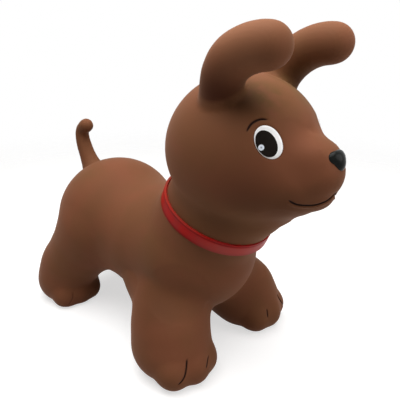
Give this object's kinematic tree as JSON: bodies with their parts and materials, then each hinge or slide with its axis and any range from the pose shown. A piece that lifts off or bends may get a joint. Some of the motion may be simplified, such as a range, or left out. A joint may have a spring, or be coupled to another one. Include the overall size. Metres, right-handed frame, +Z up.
{
  "type": "bouncy ride on animal",
  "caption": "Inflatable soft PVC hop-on puppy with a seat behind the head, horn-shaped ear grips, a collar and a pull-out air plug under the belly.",
  "frame": {"origin": "on the floor under the middle of the bounding box", "axes": "+Z up, -Y the way the puppy faces, +X its left side"},
  "size_m": [0.3272, 0.5958, 0.5326],
  "materials": {
    "brown_pvc": "soft matte vinyl with a fine moulded bloom",
    "red_pvc": "satin sprayed vinyl colour",
    "black_gloss": "glossy black paint on vinyl",
    "white_gloss": "satin white paint on vinyl",
    "plug_pvc": "natural translucent vinyl"
  },
  "bodies": {
    "puppy": {"skin": "brown_pvc", "collar": "red_pvc", "nose": "black_gloss", "eye_white_right": "white_gloss", "eye_pupil_right": "black_gloss", "eye_highlight_right": "white_gloss", "eye_white_left": "white_gloss", "eye_pupil_left": "black_gloss", "eye_highlight_left": "white_gloss"},
    "plug": {"air_plug": "plug_pvc"}
  },
  "joints": [
    {"name": "plug_pull", "type": "slide", "parent": "puppy", "child": "plug", "axis": [0, 0, -1], "range_m": [0, 0.03]}
  ]
}
